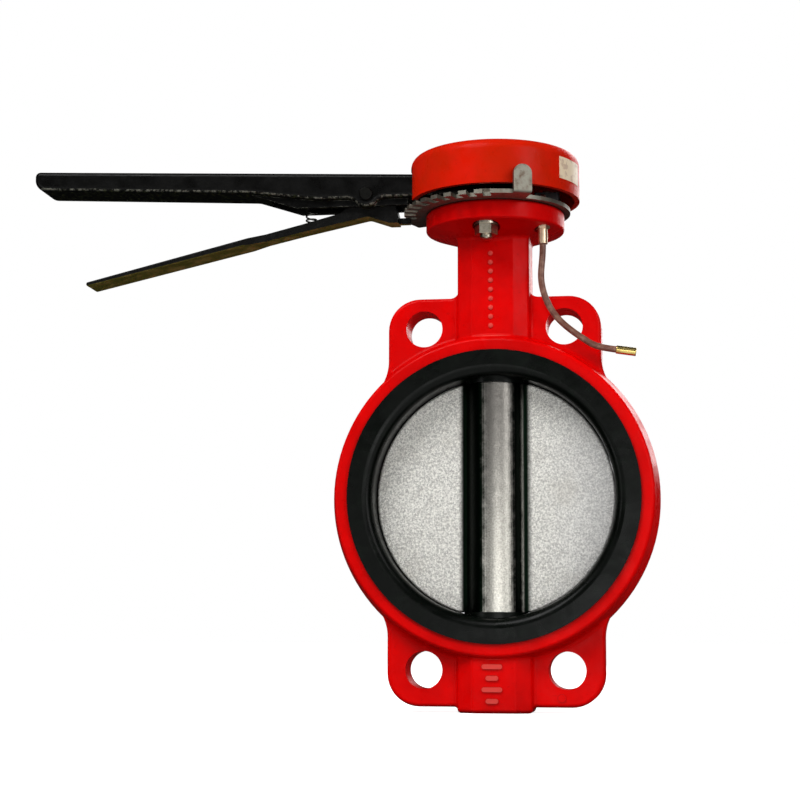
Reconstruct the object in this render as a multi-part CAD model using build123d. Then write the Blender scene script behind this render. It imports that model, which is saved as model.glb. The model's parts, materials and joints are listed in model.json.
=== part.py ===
from build123d import *
import math
import os

# A DN150 wafer butterfly valve. Millimetres, +Z up. The pipe runs along Y, the shaft along Z, and the
# origin is the centre of the disc. The lever points along -X with the disc closed.

# Pipe side
HOLE_CIRCLE_D = 240.0
HOLE_OFF_VERTICAL = 22.5
HOLE_D = 24.0
RING_R = 102.5
RING_MID_R = 106.3
RING_MID_HALF = 8.0
RING_HALF_DEPTH = 26.0
RING_EDGE_R = 2.5
EAR_HALF_DEPTH = 13.0
EAR_EDGE_R = 2.5
EAR_HALF_X = 69.8
EAR_TOP_Z = 131.3
EAR_FOOT_Z = -134.1
EAR_CORNER_R = 21.0
EAR_BLEND_R = 30.0
EAR_ROOT_R = 104.5
RING_BLEND_R = 3.5
NECK_BLEND_R = 3.0
BOSS_BLEND_R = 2.5
EAR_NECK_Z = 160.0
EAR_BOSS_Z = -137.0
NECK_FOOT_R = 6.0
BOSS_FOOT_R = 2.2
EAR_PIP_X = 42.4
EAR_PIP_Z = -128.2
EAR_PIP_R = 2.4
EAR_PIP_PROUD = 0.8

# Seat and disc
BORE_R = 78.0
SEAT_BACK_R = 88.0
SEAT_LIP_R = 94.3
SEAT_FACE_Y = 28.0
SEAT_LIP_BACK_Y = 22.0
SEAT_MOUTH_R = 6.6
SEAT_FLAT_Z = 74.2
SEAT_FLAT_R = 21.0
SEAT_STEM_HOLE_R = 9.6
DISC_R = 77.8
DISC_HALF_THICK = 6.5
DISC_EDGE_R = 1.5
DISC_HUB_R = 18.5
DISC_HUB_BLEND_R = 8.0
DISC_HUB_REACH = 23.4
DISC_END_Z = 74.0

# Neck, top flange and bottom boss
NECK_HALF_X = 23.6
NECK_HALF_Y = 22.0
NECK_CORNER_X = 10.2
NECK_CORNER_Y = 6.0
NECK_CORNER_R = 3.0
FLANGE_R = 46.0
FLANGE_BOTTOM = 176.0
FLANGE_EDGE_Z = 177.0
FLARE_END_R = 20.0
FLARE_END_Z = 168.3
BOLT_SPOT_R = 9.0
GLAND_SPOT_R = 5.5
FLANGE_TOP = 189.2
FLANGE_EDGE_R = 2.0
BOSS_HALF_X = 24.0
BOSS_BOTTOM = -137.8
BAR_TOP_Z = -108.5
BAR_STEP = 7.2
BAR_COUNT = 4
BAR_H = 3.0
BAR_LONG = 13.0
BAR_SHORT = 8.0
BAR_PROUD = 1.1
MARK_X = -1.2
MARK_R = 2.0
MARK_PROUD = 1.0
MARK_STEP = 6.0
MARK_COUNT = 9
MARK_TOP_Z = 158.7

# Shafts and what they run in
SHAFT_R = 9.46
SHAFT_SQUARE = 14.0
SHAFT_SQUARE_BASE = 192.3
SHAFT_TOP = 210.5
DISC_SQUARE = 13.0
DISC_SQUARE_TOP = 34.0
DISC_SQUARE_BOTTOM = 14.0
LOWER_SHAFT_TOP = -30.0
LOWER_SHAFT_BOTTOM = -118.0
RUN_GAP = 0.04
FIT_GAP = 0.02
EASY_GAP = 0.1
SCREW_GAP = 0.3
PAST = 1.0
SMALL_CHAMFER = 0.8
SHAFT_BORE_R = 10.0
NECK_BORE_R = 13.0
LOWER_BUSH_BASE = 92.0
LOWER_BUSH_TOP = 116.0
UPPER_BUSH_BASE = 145.0
UPPER_BUSH_TOP = 175.0
PACKING_BASE = 175.4
PACKING_TOP = 184.0
RETAINER_BASE = 185.0
RETAINER_TOP = 186.5
RETAINER_GROOVE_R = 14.4
RETAINER_WIDTH = 3.1
RETAINER_GAP = 3.2
RETAINER_EYE_X = 3.6
RETAINER_EYE_Y = 11.4
RETAINER_EYE_R = 2.0
RETAINER_EYE_HOLE_R = 0.9
BOTTOM_BUSH_TOP = -92.0
BOTTOM_BUSH_BASE = -119.5
PLUG_R = 15.0
PLUG_TOP = -122.5
PLUG_SEAL_WIRE_R = 1.5
PLUG_SEAL_Z = -127.0
PLUG_GROOVE_DEPTH = 2.4
PLUG_HEX_AF = 10.0
PLUG_HEX_DEPTH = 7.0

# Locating plate
PLATE_THICK = 2.6
PLATE_R = 50.0
PLATE_TEETH_R = 60.8
PLATE_HOLE_R = 16.0
NOTCH_FLOOR_R = 53.0
NOTCH_W = 5.2
NOTCH_STEP = 10.0
TAB_CENTRE_R = 62.3
TAB_OFFSET = 22.8
TAB_W = 12.0
TAB_THICK = 2.6
TAB_TOP = 207.8
TAB_BEND_R = 2.4
PLATE_BOLT_R = 35.0
PLATE_BOLT_TURN = -4.3
PLATE_BOLT_D = 8.0
PLATE_BOLT_AF = 13.0
PLATE_BOLT_HEAD = 5.3
PLATE_BOLT_END = 165.2
PLATE_NUT_H = 6.5
WASHER_THICK = 1.6
WASHER_R = 8.0

# Lever
HUB_R = 20.0
HUB_BASE = 192.8
HUB_TOP = 212.0
LEVER_HALF_Y = 16.0
LEVER_END_X = -316.2
LEVER_TOP_AT_END = 226.6
LEVER_TOP_AT_HUB = 213.7
LEVER_UNDER_AT_END = 213.4
LEVER_UNDER_MID_X = -165.0
LEVER_UNDER_AT_MID = 206.2
LEVER_UNDER_AT_FORK = 200.3
FORK_START_X = -118.0
LEVER_EDGE_R = 3.0
LEVER_TIP_LOWER_R = 8.0
LEVER_TIP_UPPER_R = 3.4
PIVOT_X = -85.0
PIVOT_Z = 203.0
PIVOT_LOBE_R = 8.6
PIVOT_LOBE_BLEND_R = 9.0
FORK_CHANNEL_HALF_Y = 7.5
FORK_CHEEK_HALF_Y = 11.0
FORK_FRONT_X = -133.0
FORK_CHANNEL_X0 = -152.0
FORK_CHANNEL_X1 = -63.0
FORK_END_X = -57.5
FORK_ROOF = 211.0
FORK_ROOF_R = 3.0
FORK_BASE = 196.0
LEVER_WASHER_R = 9.5
LEVER_WASHER_THICK = 2.0
LEVER_SCREW_D = 8.0
LEVER_SCREW_HEAD_R = 6.5
LEVER_SCREW_HEAD = 5.2
LEVER_SCREW_DEPTH = 22.0
LEVER_SCREW_HEX_AF = 6.0
LEVER_SCREW_HEX_FLOOR = 1.5

# Trigger
TRIGGER_HALF_Y = 7.0
TRIGGER_GRIP_HALF_Y = 11.0
TRIGGER_GRIP_X = -170.0
TRIGGER_NECK_X = -155.0
TRIGGER_TIP_X = -279.0
TRIGGER_TIP_Z = 147.6
TRIGGER_TIP_THICK = 2.8
TRIGGER_BEND_X = -129.0
TRIGGER_BEND_Z = 183.2
TRIGGER_BEND_THICK = 5.2
TRIGGER_SHOULDER_X = -104.0
TRIGGER_SHOULDER_Z = 192.4
TRIGGER_BOSS_R = 6.4
TRIGGER_NOSE_X = -64.5
TRIGGER_APEX_Z = 189.8
TRIGGER_NOSE_TOP = 197.0
TRIGGER_APEX_R = 6.0
TRIGGER_EDGE_R = 1.0
BLADE_HALF_Y = 2.1
BLADE_TIP_X = -57.0
BLADE_THICK = 4.0
BLADE_GAP = 0.3
PIVOT_PIN_R = 3.0
PIVOT_PIN_HEAD_R = 4.6
PIVOT_PIN_HEAD = 1.6
SPRING_X = -125.0
SPRING_R = 4.0
SPRING_WIRE_R = 0.6
SPRING_FOOT = 188.4

# Cover
COVER_R = 56.2
COVER_BASE = 197.3
COVER_TOP = 227.5
COVER_WALL = 3.4
COVER_EDGE_R = 7.0
COVER_SLOT_HALF_Y = 16.8
COVER_SLOT_TOP = 219.6
COVER_BOSS_R = 4.0
COVER_SCREW_R = 15.5
COVER_SCREW_D = 4.0
COVER_SCREW_HEAD_R = 3.6
COVER_SCREW_HEAD = 2.2
COVER_SCREW_DEPTH = 9.0
COVER_CROSS_L = 4.2
COVER_CROSS_W = 0.9
COVER_CROSS_DEPTH = 1.0
LABEL_W_ANGLE = 27.0
LABEL_MID_ANGLE = -23.5
LABEL_BASE = 204.6
LABEL_H = 14.4
LABEL_THICK = 0.3

# Position switch
CAM_BASE = 193.0
CAM_TOP = 198.6
CAM_R = 22.0
CAM_RISE = 1.5
CAM_TURN = 90.0
CAM_STEPS = 12
CAM_DWELL = 12.0
SWITCH_X0 = 27.0
SWITCH_X1 = 43.0
SWITCH_Y0 = -9.0
SWITCH_Y1 = 19.0
SWITCH_TOP = 201.6
PLUNGER_Z = 196.4
PLUNGER_R = 2.0
PLUNGER_IN_CASE = 7.0
PLUNGER_TIP_GAP = 0.15
PLUNGER_SPARE = 2.5
SWITCH_SCREW_SPREAD = 10.0
SWITCH_SCREW_D = 3.0
SWITCH_SCREW_HEAD_R = 2.7
SWITCH_SCREW_HEAD = 1.8
SWITCH_SCREW_BITE = 2.3
SWITCH_EDGE_R = 1.2
CABLE_X = 33.0
CABLE_Y = -21.0
CABLE_R = 2.1
CABLE_TOP = 196.8
CABLE_BEND_R = 8.0
GLAND_BODY_R = 3.2
GLAND_COLLAR_AF = 8.0
GLAND_COLLAR = 2.0
GLAND_END = 164.1
GLAND_TOP = 188.3
FERRULE_R = 2.7
FERRULE_LENGTH = 13.0
FERRULE_EDGE_R = 0.6
CABLE_LINE_Y = -22.5
CABLE_START_Z = 163.6
CABLE_DROP = (
    (31.9, 141.0),
    (42.0, 115.0),
    (60.0, 99.8),
)
CABLE_END_SLOPE = -0.15
CABLE_END_X = 79.5
CABLE_END_Z = 93.2

PLATE_BASE = FLANGE_TOP
PLATE_TOP = PLATE_BASE + PLATE_THICK
CLOSED_ANGLE = 180.0
OPEN_ANGLE = 270.0
TAB_ANGLE = math.degrees(math.asin(TAB_OFFSET / TAB_CENTRE_R))
SWITCH_SCREW_X = (SWITCH_X0 + SWITCH_X1) / 2
SWITCH_MID_Y = (SWITCH_Y0 + SWITCH_Y1) / 2


def save(name, shape):
    """Writes one named piece."""
    shape.label = name
    export_step(shape, f"parts/{name}.step")


def rod(radius, low, high, x=0.0, y=0.0):
    """A round bar along Z."""
    return Pos(x, y, (low + high) / 2) * Cylinder(radius, high - low)


def sleeve(outer, inner, low, high):
    """A round tube along Z."""
    return rod(outer, low, high) - rod(inner, low - 1, high + 1)


def pipe_disc(radius, half_depth):
    """A round slab about the pipe's axis, the same depth either side of the disc's plane."""
    return Rotation(90, 0, 0) * Cylinder(radius, 2 * half_depth)


def block(x0, x1, y0, y1, z0, z1):
    """A square-edged block between two corners."""
    return Pos((x0 + x1) / 2, (y0 + y1) / 2, (z0 + z1) / 2) * Box(x1 - x0, y1 - y0, z1 - z0)


def hex_bar(across_flats, low, high, x=0.0, y=0.0):
    """A hexagonal bar along Z."""
    section = RegularPolygon(across_flats / 2, 6, major_radius=False)
    return Pos(x, y, low) * extrude(section, high - low)


def side_plate(outline, half_width):
    """An outline drawn in X and Z, given the same width either side of the lever's middle plane."""
    return extrude(Plane.XZ * outline, half_width, both=True)


def bolt_holes():
    """Four holes of the eight-hole circle, next to the vertical."""
    radius = HOLE_CIRCLE_D / 2
    x = radius * math.sin(math.radians(HOLE_OFF_VERTICAL))
    z = radius * math.cos(math.radians(HOLE_OFF_VERTICAL))
    hole = pipe_disc(HOLE_D / 2, RING_HALF_DEPTH)
    return [Pos(sx * x, 0, sz * z) * hole for sx in (-1, 1) for sz in (-1, 1)]


def blended(first, second, radius):
    """Two bodies joined, with a fillet along every edge where they meet."""
    joined = first + second
    return fillet(new_edges(first, second, combined=joined), radius)


def level_corners(outline, level):
    """The inner corners where the neck or the boss stands on the level edge of the ears."""
    return outline.vertices().filter_by(lambda v: abs(v.Y - level) < 0.01 and abs(v.X) < EAR_HALF_X / 2)


def ears():
    """One flat plate carrying all four ears, blended into the ring, the neck and the boss."""
    height = EAR_TOP_Z - EAR_FOOT_Z
    outline = Pos(0, (EAR_TOP_Z + EAR_FOOT_Z) / 2) * Rectangle(2 * EAR_HALF_X, height)
    outline = fillet(outline.vertices(), EAR_CORNER_R)
    outline += Circle(EAR_ROOT_R)
    waist = outline.vertices().filter_by(lambda v: abs(v.Y) < RING_R - EAR_CORNER_R)
    outline = fillet(waist, EAR_BLEND_R)
    tongues = (
        (NECK_HALF_X, EAR_TOP_Z, EAR_NECK_Z, NECK_FOOT_R),
        (BOSS_HALF_X, EAR_FOOT_Z, EAR_BOSS_Z, BOSS_FOOT_R),
    )
    for half_x, level, end, corner in tongues:
        start = level - math.copysign(EAR_CORNER_R, level)
        outline += Pos(0, (start + end) / 2) * Rectangle(2 * half_x - 1, abs(end - start))
        outline = fillet(level_corners(outline, level), corner)
    plate = side_plate(outline, EAR_HALF_DEPTH)
    return fillet(plate.faces().filter_by(Axis.Y).edges(), EAR_EDGE_R)


def ring():
    """The round body between the pipe flanges, cast with draft so that it is widest in the middle."""
    profile = make_face(Polyline(
        (0, -RING_HALF_DEPTH),
        (RING_R, -RING_HALF_DEPTH),
        (RING_MID_R, -RING_MID_HALF),
        (RING_MID_R, RING_MID_HALF),
        (RING_R, RING_HALF_DEPTH),
        (0, RING_HALF_DEPTH),
        (0, -RING_HALF_DEPTH),
    ))
    profile = fillet(profile.vertices().filter_by(lambda v: abs(v.X - RING_R) < 0.01), RING_EDGE_R)
    return revolve(profile, Axis.Y, 360)


def post(half_x, low, high):
    """A square post along Z with its corners cut off and softened."""
    front_x = half_x - NECK_CORNER_X
    side_y = NECK_HALF_Y - NECK_CORNER_Y
    quarter = [(half_x, side_y), (front_x, NECK_HALF_Y), (-front_x, NECK_HALF_Y), (-half_x, side_y)]
    opposite = [(-x, -y) for x, y in quarter]
    section = make_face(Polyline(*quarter, *opposite, quarter[0]))
    section = fillet(section.vertices(), NECK_CORNER_R)
    return Pos(0, 0, low) * extrude(section, high - low)


def top_flange():
    """The round actuator flange, its underside flaring down into the neck."""
    profile = make_face(Polyline(
        (0, FLARE_END_Z),
        (FLARE_END_R, FLARE_END_Z),
        (FLANGE_R, FLANGE_EDGE_Z),
        (FLANGE_R, FLANGE_TOP),
        (0, FLANGE_TOP),
        (0, FLARE_END_Z),
    ))
    profile = fillet(profile.vertices().filter_by(lambda v: abs(v.X - FLANGE_R) < 0.01), FLANGE_EDGE_R)
    return revolve(Plane.XZ * profile, Axis.Z, 360)


def foundry_marks():
    """A column of plain raised dots on the front of the neck."""
    bulge = (MARK_R**2 + MARK_PROUD**2) / (2 * MARK_PROUD)
    centre_y = -NECK_HALF_Y - MARK_PROUD + bulge
    return [Pos(MARK_X, centre_y, MARK_TOP_Z - i * MARK_STEP) * Sphere(bulge) for i in range(MARK_COUNT)]


def foundry_bars():
    """A column of plain raised bars, long and short, on the front of the bottom boss."""
    bars = []
    for i in range(BAR_COUNT):
        length = BAR_SHORT if i % 2 else BAR_LONG
        bar = Pos(MARK_X, BAR_TOP_Z - i * BAR_STEP) * SlotOverall(length, BAR_H)
        bars.append(extrude(Plane.XZ.offset(NECK_HALF_Y - PAST) * bar, PAST + BAR_PROUD))
    return bars


def ear_pip():
    """A small raised button low on one ear."""
    spot = Pos(EAR_PIP_X, EAR_PIP_Z) * Circle(EAR_PIP_R)
    return extrude(Plane.XZ.offset(EAR_HALF_DEPTH - PAST) * spot, PAST + EAR_PIP_PROUD)


def casting_blank():
    """The casting before any machining."""
    blank = blended(ring(), ears(), RING_BLEND_R)
    blank = blended(blank, post(NECK_HALF_X, SEAT_BACK_R, FLANGE_TOP - PAST), NECK_BLEND_R)
    blank = blended(blank, post(BOSS_HALF_X, BOSS_BOTTOM, -SEAT_BACK_R), BOSS_BLEND_R)
    rim = blank.faces().sort_by(Axis.Z)[0].edges()
    blank = fillet(rim, RING_EDGE_R)
    blank = blended(blank, top_flange(), NECK_BLEND_R)
    for mark in foundry_marks() + foundry_bars() + [ear_pip()]:
        blank += mark
    return blank


def body_casting():
    """Ring, ears, neck, top flange and bottom boss in one machined casting."""
    casting = casting_blank()
    casting -= pipe_disc(SEAT_BACK_R, RING_HALF_DEPTH + PAST)
    lip_depth = RING_HALF_DEPTH - SEAT_LIP_BACK_Y
    for side in (-1, 1):
        lip = pipe_disc(SEAT_LIP_R + EASY_GAP, lip_depth)
        casting -= Pos(0, side * RING_HALF_DEPTH, 0) * lip
    for hole in bolt_holes():
        casting -= hole
    casting -= rod(SHAFT_BORE_R, SEAT_BACK_R - 2, FLANGE_TOP + PAST)
    casting -= rod(NECK_BORE_R, LOWER_BUSH_BASE, FLANGE_TOP + PAST)
    casting -= rod(RETAINER_GROOVE_R, RETAINER_BASE - RUN_GAP, RETAINER_TOP + RUN_GAP)
    casting -= rod(SHAFT_BORE_R, BOTTOM_BUSH_TOP - PAST, -SEAT_BACK_R + 2)
    casting -= rod(NECK_BORE_R, PLUG_TOP - PAST, BOTTOM_BUSH_TOP)
    casting -= rod(PLUG_R, BOSS_BOTTOM - PAST, PLUG_TOP)
    for x, y in plate_bolt_places():
        casting -= rod(PLATE_BOLT_D / 2 + SCREW_GAP, FLANGE_BOTTOM - PAST, FLANGE_TOP + PAST, x, y)
        casting -= rod(BOLT_SPOT_R, FLARE_END_Z, FLANGE_BOTTOM, x, y)
    casting -= rod(GLAND_BODY_R + EASY_GAP, FLANGE_BOTTOM - PAST, FLANGE_TOP + PAST, CABLE_X, CABLE_Y)
    casting -= rod(GLAND_SPOT_R, FLARE_END_Z, FLANGE_BOTTOM, CABLE_X, CABLE_Y)
    return casting


def seat_liner():
    """Moulded rubber seat: a lined bore with a lip on each face and a flat round each shaft hole."""
    liner = pipe_disc(SEAT_BACK_R, SEAT_FACE_Y)
    lip_half = (SEAT_FACE_Y - SEAT_LIP_BACK_Y) / 2
    for side in (-1, 1):
        liner += Pos(0, side * (SEAT_FACE_Y - lip_half), 0) * pipe_disc(SEAT_LIP_R, lip_half)
    liner -= pipe_disc(BORE_R, SEAT_FACE_Y + PAST)
    mouths = liner.edges().filter_by(GeomType.CIRCLE).filter_by(lambda e: abs(e.radius - BORE_R) < 0.01)
    liner = fillet(mouths, SEAT_MOUTH_R)
    for side in (-1, 1):
        flat = rod(SEAT_FLAT_R, SEAT_FLAT_Z, BORE_R + 2)
        liner += Rotation(0, 90 - side * 90, 0) * flat
    return liner - rod(SEAT_STEM_HOLE_R, -SEAT_BACK_R - PAST, SEAT_BACK_R + PAST)


def disc_hub():
    """The disc's vertical hub, with the hollows that blend it into the plate, flat at each end."""
    section = Rectangle(2 * DISC_R, 2 * DISC_HALF_THICK) + Circle(DISC_HUB_R)
    corners = section.vertices().filter_by(lambda v: abs(v.X) < DISC_R - PAST)
    section = fillet(corners, DISC_HUB_BLEND_R)
    section &= Rectangle(2 * DISC_HUB_REACH, 2 * DISC_HUB_R + 2)
    return extrude(section, DISC_END_Z, both=True) & pipe_disc(DISC_R - DISC_EDGE_R, DISC_HUB_R + PAST)


def disc_plate():
    """The disc's flat plate, turned to a ball round its edge and cut off flat at the shaft ends."""
    profile = Pos(DISC_R / 2, 0) * Rectangle(DISC_R, 2 * DISC_HALF_THICK)
    profile &= Circle(DISC_R)
    profile = fillet(profile.vertices().filter_by(lambda v: v.X > DISC_R / 2), DISC_EDGE_R)
    ball_edged = revolve(profile, Axis.Y, 360)
    return ball_edged & block(-DISC_R, DISC_R, -DISC_R, DISC_R, -DISC_END_Z, DISC_END_Z)


def disc():
    """The disc: plate, hub and the sockets for both shafts."""
    blank = disc_plate() + disc_hub()
    blank -= rod(SHAFT_R + FIT_GAP, DISC_SQUARE_TOP, DISC_END_Z + PAST)
    half = DISC_SQUARE / 2 + FIT_GAP
    blank -= block(-half, half, -half, half, DISC_SQUARE_BOTTOM, DISC_SQUARE_TOP + PAST)
    return blank - rod(SHAFT_R + FIT_GAP, -DISC_END_Z - PAST, LOWER_SHAFT_TOP + 0.5)


def squared_bar(side, low, high):
    """The squared end of the round shaft."""
    return rod(SHAFT_R, low, high) & block(-side / 2, side / 2, -side / 2, side / 2, low, high)


def upper_stem():
    """The upper shaft, squared into the disc below and into the lever above."""
    shaft = rod(SHAFT_R, DISC_SQUARE_TOP + 0.5, SHAFT_SQUARE_BASE)
    shaft += squared_bar(DISC_SQUARE, DISC_SQUARE_BOTTOM + 0.5, DISC_SQUARE_TOP + PAST)
    shaft += squared_bar(SHAFT_SQUARE, SHAFT_SQUARE_BASE - PAST, SHAFT_TOP)
    return shaft - rod(LEVER_SCREW_D / 2, SHAFT_TOP - LEVER_SCREW_DEPTH - PAST, SHAFT_TOP + PAST)


def lower_stem():
    """The short lower shaft with a chamfered foot."""
    shaft = rod(SHAFT_R, LOWER_SHAFT_BOTTOM, LOWER_SHAFT_TOP)
    return chamfer(shaft.edges().filter_by(GeomType.CIRCLE), SMALL_CHAMFER)


def bush(low, high):
    """A plain bearing bush between the shaft and the neck bore."""
    return sleeve(NECK_BORE_R - FIT_GAP, SHAFT_R + RUN_GAP, low, high)


def stem_packing():
    """A square-section packing ring with a lip groove in its top."""
    ring_body = sleeve(NECK_BORE_R - FIT_GAP, SHAFT_R + RUN_GAP, PACKING_BASE, PACKING_TOP)
    return ring_body - sleeve(NECK_BORE_R - PAST, SHAFT_R + PAST, PACKING_TOP - 2, PACKING_TOP + PAST)


def stem_retaining_ring():
    """An internal snap ring with an open gap and two eyes."""
    outer = RETAINER_GROOVE_R - EASY_GAP
    low, high = RETAINER_BASE - PAST, RETAINER_TOP + PAST
    snap = sleeve(outer, outer - RETAINER_WIDTH, RETAINER_BASE, RETAINER_TOP)
    for side in (-1, 1):
        snap += rod(RETAINER_EYE_R, RETAINER_BASE, RETAINER_TOP, side * RETAINER_EYE_X, RETAINER_EYE_Y)
    snap -= block(-RETAINER_GAP / 2, RETAINER_GAP / 2, SHAFT_R - PAST, outer + PAST, low, high)
    for side in (-1, 1):
        snap -= rod(RETAINER_EYE_HOLE_R, low, high, side * RETAINER_EYE_X, RETAINER_EYE_Y)
    return snap


def bottom_plug():
    """The screwed plug that closes the bottom boss, with a groove for its seal and a hexagon socket."""
    plug = rod(PLUG_R, BOSS_BOTTOM, PLUG_TOP)
    plug = chamfer(plug.edges().filter_by(GeomType.CIRCLE), SMALL_CHAMFER)
    groove_half = PLUG_SEAL_WIRE_R + 2 * EASY_GAP
    low, high = PLUG_SEAL_Z - groove_half, PLUG_SEAL_Z + groove_half
    groove = sleeve(PLUG_R + PAST, PLUG_R - PLUG_GROOVE_DEPTH, low, high)
    return plug - groove - hex_bar(PLUG_HEX_AF, BOSS_BOTTOM - PAST, BOSS_BOTTOM + PLUG_HEX_DEPTH)


def bottom_plug_seal():
    """A round-section rubber ring in the plug's groove, flattened where it meets the bore."""
    wire_centre = PLUG_R - PLUG_GROOVE_DEPTH + PLUG_SEAL_WIRE_R
    ring_body = Pos(0, 0, PLUG_SEAL_Z) * Torus(wire_centre, PLUG_SEAL_WIRE_R)
    return ring_body & rod(PLUG_R, PLUG_SEAL_Z - 3, PLUG_SEAL_Z + 3)


def notch(angle):
    """One latch notch in the plate's edge."""
    half = NOTCH_W / 2
    cutter = block(NOTCH_FLOOR_R, PLATE_TEETH_R + PAST, -half, half, PLATE_BASE - PAST, PLATE_TOP + PAST)
    return Rotation(0, 0, angle) * cutter


def stop_tab(angle):
    """A stop bent up from the plate's edge, round at the top."""
    upright = Rectangle(TAB_W, TAB_TOP - PLATE_BASE)
    upright = fillet(upright.vertices().group_by(Axis.Y)[-1], TAB_W / 2 - 0.05)
    plate = extrude(Plane.YZ * upright, TAB_THICK)
    plate = Pos(TAB_CENTRE_R - TAB_THICK / 2, 0, (TAB_TOP + PLATE_BASE) / 2) * plate
    foot = block(NOTCH_FLOOR_R - NOTCH_W, TAB_CENTRE_R, -TAB_W / 2, TAB_W / 2, PLATE_BASE, PLATE_TOP)
    tab = plate + foot
    bend = tab.edges().filter_by(Axis.Y).group_by(Axis.Z)[0].sort_by(Axis.X)[-1]
    return Rotation(0, 0, angle) * fillet(bend, TAB_BEND_R)


def notched_plate():
    """The locating plate: a toothed quadrant between two bent-up stops."""
    first = CLOSED_ANGLE - TAB_ANGLE
    last = OPEN_ANGLE + TAB_ANGLE
    fan = [(0, 0)]
    for angle in (first, (first + last) / 2, last):
        corner = Vector(2 * PLATE_TEETH_R, 0).rotate(Axis.Z, angle)
        fan.append((corner.X, corner.Y))
    quadrant = Circle(PLATE_TEETH_R) & make_face(Polyline(*fan, fan[0]))
    plate = Pos(0, 0, PLATE_BASE) * extrude(Circle(PLATE_R) + quadrant, PLATE_THICK)
    for angle in (first, last):
        plate += stop_tab(angle)
    steps = round((OPEN_ANGLE - CLOSED_ANGLE) / NOTCH_STEP)
    for i in range(steps + 1):
        plate -= notch(CLOSED_ANGLE + i * NOTCH_STEP)
    holes = [(PLATE_HOLE_R, 0, 0), (GLAND_BODY_R + EASY_GAP, CABLE_X, CABLE_Y)]
    holes += [(PLATE_BOLT_D / 2 + SCREW_GAP, x, y) for x, y in plate_bolt_places()]
    holes += [(SWITCH_SCREW_D / 2, x, y) for x, y in switch_screw_places()]
    for radius, x, y in holes:
        plate -= rod(radius, PLATE_BASE - PAST, PLATE_TOP + PAST, x, y)
    return plate


def plate_bolt_places():
    """The two plate bolts, front and back."""
    front = Vector(0, -PLATE_BOLT_R).rotate(Axis.Z, PLATE_BOLT_TURN)
    return [(front.X, front.Y), (-front.X, -front.Y)]


def at_plate_bolts(make):
    """The same solid at both plate bolts."""
    return Compound(children=[make(x, y) for x, y in plate_bolt_places()])


def plate_bolt(x, y):
    """A hexagon bolt down through plate and flange."""
    bolt = rod(PLATE_BOLT_D / 2, PLATE_BOLT_END, PLATE_TOP, x, y)
    bolt = chamfer(bolt.edges().group_by(Axis.Z)[0], SMALL_CHAMFER)
    head = hex_bar(PLATE_BOLT_AF, PLATE_TOP, PLATE_TOP + PLATE_BOLT_HEAD, x, y)
    upright = (Align.CENTER, Align.CENTER, Align.MIN)
    crown = Pos(x, y, PLATE_TOP) * Cone(PLATE_BOLT_AF, PLATE_BOLT_AF * 0.45, PLATE_BOLT_AF, align=upright)
    return bolt + (head & crown)


def plate_washer(x, y):
    """A flat washer against the underside of the flange."""
    ring_body = rod(WASHER_R, FLANGE_BOTTOM - WASHER_THICK, FLANGE_BOTTOM, x, y)
    return ring_body - rod(PLATE_BOLT_D / 2 + SCREW_GAP, PLATE_BOLT_END, FLANGE_TOP, x, y)


def plate_nut(x, y):
    """A hexagon nut under the washer."""
    top = FLANGE_BOTTOM - WASHER_THICK
    nut = hex_bar(PLATE_BOLT_AF, top - PLATE_NUT_H, top, x, y)
    return nut - rod(PLATE_BOLT_D / 2, top - PLATE_NUT_H - PAST, FLANGE_TOP, x, y)


def lever_outline():
    """Side view of the lever's bar: a long taper with a round lobe under it at the trigger's pivot."""
    top_slope = (LEVER_TOP_AT_HUB - LEVER_TOP_AT_END) / -LEVER_END_X
    edge = Polyline(
        (0, LEVER_UNDER_AT_FORK),
        (0, LEVER_TOP_AT_HUB),
        (LEVER_END_X, LEVER_TOP_AT_HUB + top_slope * LEVER_END_X),
        (LEVER_END_X, LEVER_UNDER_AT_END),
        (LEVER_UNDER_MID_X, LEVER_UNDER_AT_MID),
        (FORK_START_X, LEVER_UNDER_AT_FORK),
        (0, LEVER_UNDER_AT_FORK),
    )
    bar = make_face(edge)
    bar = fillet(bar.vertices().group_by(Axis.X)[0].sort_by(Axis.Y)[:1], LEVER_TIP_LOWER_R)
    bar = fillet(bar.vertices().group_by(Axis.X)[0].sort_by(Axis.Y)[-1:], LEVER_TIP_UPPER_R)
    bar += Pos(PIVOT_X, PIVOT_Z) * Circle(PIVOT_LOBE_R)
    lobe_foot = bar.vertices().filter_by(
        lambda v: abs(v.X - PIVOT_X) < PIVOT_LOBE_R + 1 and abs(v.Y - LEVER_UNDER_AT_FORK) < 0.1
    )
    return fillet(lobe_foot, PIVOT_LOBE_BLEND_R)


def fork_outline():
    """Side view of the cheeks that hang from the bar and carry the trigger's pin and spring."""
    edge = Polyline(
        (FORK_END_X, LEVER_UNDER_AT_FORK + PAST),
        (LEVER_UNDER_MID_X, LEVER_UNDER_AT_MID + PAST),
        (LEVER_UNDER_MID_X, LEVER_UNDER_AT_MID),
        (FORK_FRONT_X, FORK_BASE),
        (FORK_END_X, FORK_BASE),
        (FORK_END_X, LEVER_UNDER_AT_FORK + PAST),
    )
    return make_face(edge)


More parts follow.
